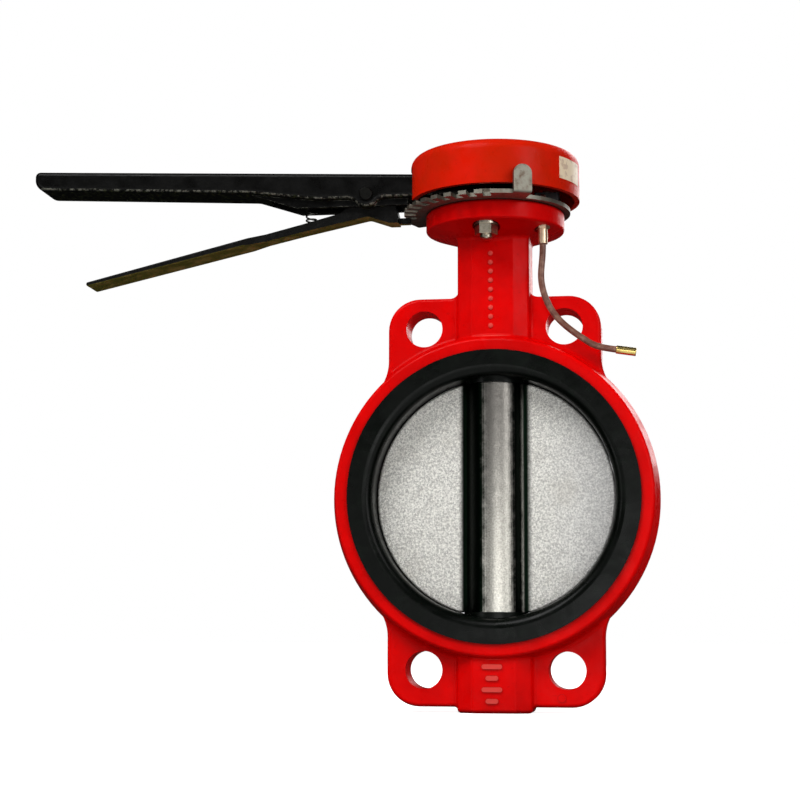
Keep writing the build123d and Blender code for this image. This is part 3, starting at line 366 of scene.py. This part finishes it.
def black_casting():
    """Black paint over a rough casting: smooth on the sides, coarse underneath and inside, worn on its
    corners, with a painted highlight along its rounded lower edges.
    """
    finish = Finish("black_casting")
    downward = finish.facing("Z")
    under = finish.ramp(downward, -0.3, -0.8)
    coarse = finish.noise(2.6 * MM, 6, 0.72)
    fleck = finish.ramp(coarse, 0.5, 0.72)
    tone = finish.mix(finish.times(under, fleck), (0.0012, 0.0012, 0.0010), (0.060, 0.070, 0.026))
    # Painted highlight: a band on the rounded lower edges, facing partly down, is lightened together
    # with the worn corners.
    painted_edge_highlight = finish.times(finish.ramp(downward, -0.38, -0.50), finish.ramp(downward, -0.86, -0.74))
    rub = finish.ramp(finish.noise(3.0 * MM, 5, 0.7), 0.46, 0.60)
    worn = finish.times(finish.larger(finish.corners(0.5 * MM), painted_edge_highlight), rub)
    tone = finish.mix(worn, tone, (0.20, 0.20, 0.165))
    satin = finish.ramp(finish.noise(12 * MM, 4), 0.3, 0.7, 0.26, 0.42)
    rough = finish.plus(satin, finish.times(under, 0.18))
    finish.set(Base_Color=tone, Roughness=rough, Metallic=0.0, Specular_IOR_Level=0.10)
    lumps = finish.bump(finish.noise(8 * MM, 3), 0.35 * MM)
    ridges = finish.times(coarse, finish.ramp(under, 0.0, 1.0, 0.10, 1.0))
    finish.bump(ridges, 0.7 * MM, lumps)
    return finish.material


def trigger_finish():
    """Olive-black paint on a cast strap, greener and scuffed underneath."""
    finish = Finish("trigger_finish")
    under = finish.ramp(finish.facing("Z"), -0.3, -0.8)
    scuff = finish.ramp(finish.noise(9 * MM, 5, 0.7), 0.42, 0.7)
    olive = finish.mix(scuff, (0.11, 0.10, 0.010), (0.30, 0.20, 0.055))
    tone = finish.mix(under, (0.0015, 0.0015, 0.0012), olive)
    rough = finish.ramp(scuff, 0.0, 1.0, 0.34, 0.5)
    finish.set(Base_Color=tone, Roughness=rough, Specular_IOR_Level=0.12)
    lumps = finish.bump(finish.noise(6 * MM, 3), 0.25 * MM)
    finish.bump(finish.noise(1.1 * MM, 4, 0.6), 0.10 * MM, lumps)
    return finish.material


def metal(name, colour, rough, tint=None, grain=0.8, along=(1, 1, 1)):
    """Plain metal with fine grain, patchy tarnish, rubbed edges and painted shade in its creases."""
    finish = Finish(name)
    tarnish = finish.ramp(finish.noise(6 * MM, 5, 0.65), 0.42, 0.72)
    tone = finish.mix(tarnish, colour, tint or scaled(colour, 0.6))
    rubbed = finish.times(finish.corners(0.25 * MM), 0.5)
    tone = finish.mix(rubbed, tone, scaled(colour, 1.35))
    # Painted shade: darker in creases.
    crease = finish.times(finish.hollows(2 * MM), 0.6)
    tone = finish.mix(crease, tone, scaled(colour, 0.2))
    dulled = finish.ramp(tarnish, 0.0, 1.0, rough, rough + 0.15)
    finish.set(Base_Color=tone, Metallic=1.0, Roughness=dulled)
    finish.bump(finish.noise(grain * MM, 4, 0.6, place=finish.stretched(*along)), 0.03 * MM)
    return finish.material


def cable_jacket():
    """Dull cable jacket with a slight sheen and handling marks."""
    finish = Finish("cable_jacket")
    marks = finish.ramp(finish.noise(5 * MM, 5, 0.7), 0.4, 0.7)
    tone = finish.mix(marks, (0.16, 0.050, 0.030), (0.30, 0.15, 0.10))
    finish.set(Base_Color=tone, Roughness=0.38, Sheen_Weight=0.1)
    finish.bump(finish.noise(1.2 * MM, 3), 0.05 * MM)
    return finish.material


def label_paper():
    """A plain faded sticker, with soft blotches in place of any printing."""
    finish = Finish("label_paper")
    fade = finish.ramp(finish.noise(4.5 * MM, 3, 0.5), 0.48, 0.62)
    tone = finish.mix(fade, (1.0, 0.80, 0.56), (0.74, 0.53, 0.37))
    fibre = finish.noise(0.35 * MM, 4, 0.7)
    tone = finish.mix(finish.ramp(fibre, 0.4, 0.9, 0.0, 0.25), tone, (0.9, 0.82, 0.74))
    finish.set(Base_Color=tone, Roughness=0.5, Coat_Weight=0.3, Coat_Roughness=0.25)
    finish.bump(fibre, 0.02 * MM)
    return finish.material


def moulded(name, colour, rough):
    """Moulded plastic or rubber with a fine spark-eroded grain."""
    finish = Finish(name)
    patches = finish.ramp(finish.noise(9 * MM, 4), 0.4, 0.7)
    finish.set(Base_Color=finish.mix(patches, colour, scaled(colour, 0.8)), Roughness=rough)
    finish.bump(finish.noise(0.4 * MM, 3), 0.02 * MM)
    return finish.material


FINISHES = {
    "red_paint": painted_casting(
        "red_paint",
        colour=(0.86, 0.0004, 0.0004),
        shade=(0.70, 0.0004, 0.0004),
        chip=(0.10, 0.02, 0.015),
        # marks: the colour of the painted highlight on the raised dots and bars.
        marks=(0.80, 0.16, 0.13),
    ),
    "cover_paint": painted_casting(
        "cover_paint",
        colour=(0.76, 0.010, 0.0006),
        shade=(0.60, 0.014, 0.001),
        chip=(0.12, 0.03, 0.015),
    ),
    "seat_rubber": seat_rubber(),
    "seal_rubber": moulded("seal_rubber", (0.015, 0.015, 0.016), 0.55),
    "disc_metal": disc_metal(),
    "shaft_steel": metal("shaft_steel", (0.56, 0.55, 0.53), 0.22, grain=0.3, along=(1, 1, 12)),
    "bush_bronze": metal("bush_bronze", (0.50, 0.32, 0.13), 0.30),
    "plated_steel": metal("plated_steel", (0.50, 0.45, 0.36), 0.30, (0.16, 0.14, 0.10)),
    "pin_steel": metal("pin_steel", (0.010, 0.010, 0.009), 0.45),
    "spring_steel": metal("spring_steel", (0.12, 0.12, 0.11), 0.35),
    "plate_zinc": metal("plate_zinc", (0.25, 0.24, 0.20), 0.50, (0.16, 0.11, 0.08)),
    "black_casting": black_casting(),
    "cam_plastic": moulded("cam_plastic", (0.75, 0.74, 0.68), 0.35),
    "switch_plastic": moulded("switch_plastic", (0.03, 0.03, 0.033), 0.4),
    "label_paper": label_paper(),
    "cable_jacket": cable_jacket(),
    "ferrule_brass": metal("ferrule_brass", (0.66, 0.50, 0.17), 0.25, (0.50, 0.34, 0.10)),
}
OWN_FINISHES = {
    "trigger": trigger_finish(),
    "cable_gland": metal("gland_brass", (0.85, 0.66, 0.46), 0.38, (0.62, 0.42, 0.28)),
}


def dress_cad_nodes():
    """Gives every CAD node the finish of its material slot, or its own where it has one."""
    slot_of = {row["node"]: row["material_slot"] for row in RECORD["subparts"]}
    for name, node in NODES.items():
        finish = OWN_FINISHES.get(name) or FINISHES[slot_of[name]]
        node.data.materials.clear()
        node.data.materials.append(finish)


# ---------------------------------------------------------------- pieces

def tube_mesh(name, path, radius, sides):
    """A closed round tube along a list of points, without twist."""
    mesh = bpy.data.meshes.new(name)
    build = bmesh.new()
    rings = []
    side = Vector((1, 0, 0))
    for i, point in enumerate(path):
        ahead = (path[min(i + 1, len(path) - 1)] - path[max(i - 1, 0)]).normalized()
        side = (side - ahead * side.dot(ahead)).normalized()
        up = ahead.cross(side)
        ring = []
        for k in range(sides):
            turn = 2 * math.pi * k / sides
            ring.append(build.verts.new(point + radius * (math.cos(turn) * side + math.sin(turn) * up)))
        rings.append(ring)
    for low, high in zip(rings, rings[1:]):
        for k in range(sides):
            build.faces.new((low[k], low[(k + 1) % sides], high[(k + 1) % sides], high[k]))
    build.faces.new(list(reversed(rings[0])))
    build.faces.new(rings[-1])
    bmesh.ops.recalc_face_normals(build, faces=build.faces)
    build.to_mesh(mesh)
    build.free()
    for face in mesh.polygons:
        face.use_smooth = len(face.vertices) == 4
    piece = bpy.data.objects.new(name, mesh)
    bpy.context.scene.collection.objects.link(piece)
    return piece


def coil_path(centre, radius, bottom, height):
    """Points along a coil's wire, upwards: closed turns lie wire on wire, and the rest spread evenly."""
    wire = 2 * WIRE_RADIUS
    spread = COIL_TURNS - 2 * COIL_CLOSED
    path = []
    for i in range(int(COIL_TURNS * COIL_STEPS) + 1):
        turn = i / COIL_STEPS
        share = min(max(turn - COIL_CLOSED, 0), spread) / spread
        lift = share * (height - 2 * wire * COIL_CLOSED)
        lift += wire * min(turn, COIL_CLOSED) + wire * max(0, turn - (COIL_TURNS - COIL_CLOSED))
        angle = 2 * math.pi * turn
        place = Vector((centre.x + radius * math.cos(angle), radius * math.sin(angle), bottom + lift))
        path.append(place)
    return path


def coil_spring():
    """The compression spring between trigger and lever, with closed ends."""
    low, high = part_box("trigger_spring")
    centre = (low + high) / 2
    radius = (high.x - low.x) / 2 - WIRE_RADIUS
    bottom, top = low.z + WIRE_RADIUS, high.z - WIRE_RADIUS
    path = coil_path(centre, radius, bottom, high.z - low.z - 2 * WIRE_RADIUS)
    piece = tube_mesh("trigger_coil", path, WIRE_RADIUS, COIL_SIDES)
    piece.data.materials.append(FINISHES["spring_steel"])
    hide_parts("trigger_spring")
    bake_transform(piece)


# ---------------------------------------------------------------- stage

def studio_floor():
    """A plain pale floor that runs far enough back to fill the picture behind the valve."""
    floor_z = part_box("body_casting")[0].z
    mesh = bpy.data.meshes.new("stage_floor")
    signs = ((-1, -1), (1, -1), (1, 1), (-1, 1))
    corners = [(x * FLOOR_HALF, y * FLOOR_HALF, floor_z) for x, y in signs]
    mesh.from_pydata(corners, [], [(0, 1, 2, 3)])
    floor = bpy.data.objects.new("stage_floor", mesh)
    bpy.context.scene.collection.objects.link(floor)
    mesh.materials.append(floor_white())
    floor.visible_glossy = False


def floor_white():
    """Plain white for the camera, and much greyer for the light it throws back up at the valve."""
    finish = Finish("stage_white")
    seen = finish.ray("Camera")
    tone = finish.mix(seen, FLOOR_THROWN, FLOOR_SEEN)
    finish.set(Base_Color=tone, Roughness=0.9, Specular_IOR_Level=0.0)
    finish.set(Emission_Color=WHITE, Emission_Strength=finish.times(seen, FLOOR_GLOW))
    return finish.material


def soft_box(name, place, target, width, height, power):
    """A rectangular softbox aimed at a point."""
    light = bpy.data.lights.new(name, "AREA")
    light.shape = "RECTANGLE"
    light.size = width
    light.size_y = height
    light.energy = power
    lamp = bpy.data.objects.new(name, light)
    lamp.location = place
    lamp.rotation_euler = (Vector(target) - Vector(place)).to_track_quat("-Z", "Y").to_euler()
    bpy.context.scene.collection.objects.link(lamp)


def soft_boxes():
    """A key above and to the left, a fill on the right, two low boxes in front and one behind."""
    soft_box("key", place=(-0.75, -1.35, 1.7), target=ABOVE_MIDDLE, width=1.1, height=0.9, power=30)
    soft_box("fill", place=(1.5, -1.3, 0.7), target=ABOVE_MIDDLE, width=0.7, height=1.2, power=12)
    soft_box("low_left", place=(-1.4, -1.2, -0.05), target=MIDDLE, width=0.5, height=0.9, power=4)
    soft_box("low_front", place=(0.4, -2.0, -0.1), target=MIDDLE, width=1.2, height=0.6, power=7)
    soft_box("rear", place=(0.8, 1.8, 0.9), target=MIDDLE, width=1.4, height=1.2, power=16)


def room():
    """The room round the valve: white to the camera, and an even light for matt surfaces.

    Shiny surfaces see a dark room with one wide, bright panel in front, brightest low down.
    """
    world = bpy.data.worlds.new("studio")
    bpy.context.scene.world = world
    world.use_nodes = True
    recipe = Recipe(world.node_tree, "Generated")
    sideways = recipe.maths("DIVIDE", recipe.axis("X"), recipe.times(recipe.axis("Y"), -1.0))
    panel = recipe.times(recipe.ramp(sideways, -0.9, -0.5), recipe.ramp(sideways, 3.0, 1.8))
    panel = recipe.times(panel, recipe.ramp(recipe.axis("Y"), 0.0, -0.1))
    panel = recipe.times(panel, recipe.ramp(recipe.axis("Z"), 0.17, -0.05, 0.10, 1.1))
    light = recipe.choose(recipe.ray("Glossy"), ROOM_EVEN, recipe.plus(panel, ROOM_DARK))
    light = recipe.choose(recipe.ray("Camera"), light, ROOM_SEEN)
    surround = world.node_tree.nodes["Background"]
    recipe.put(surround.inputs["Color"], WHITE)
    recipe.put(surround.inputs["Strength"], light)


def camera():
    """A camera at the photograph's viewpoint."""
    lens = bpy.data.cameras.new("camera")
    lens.sensor_width = EYE_SENSOR
    lens.lens = EYE_LENS
    lens.clip_start = EYE_NEAR
    eye = bpy.data.objects.new("camera", lens)
    turn = Matrix.Rotation(EYE_YAW, 4, "Z") @ Matrix.Rotation(math.pi / 2 + EYE_PITCH, 4, "X")
    turn = turn @ Matrix.Rotation(EYE_ROLL, 4, "Z")
    eye.matrix_world = Matrix.Translation(EYE) @ turn
    bpy.context.scene.collection.objects.link(eye)
    bpy.context.scene.camera = eye


dress_cad_nodes()
coil_spring()
studio_floor()
soft_boxes()
room()
camera()
bpy.context.scene.view_settings.view_transform = "Standard"
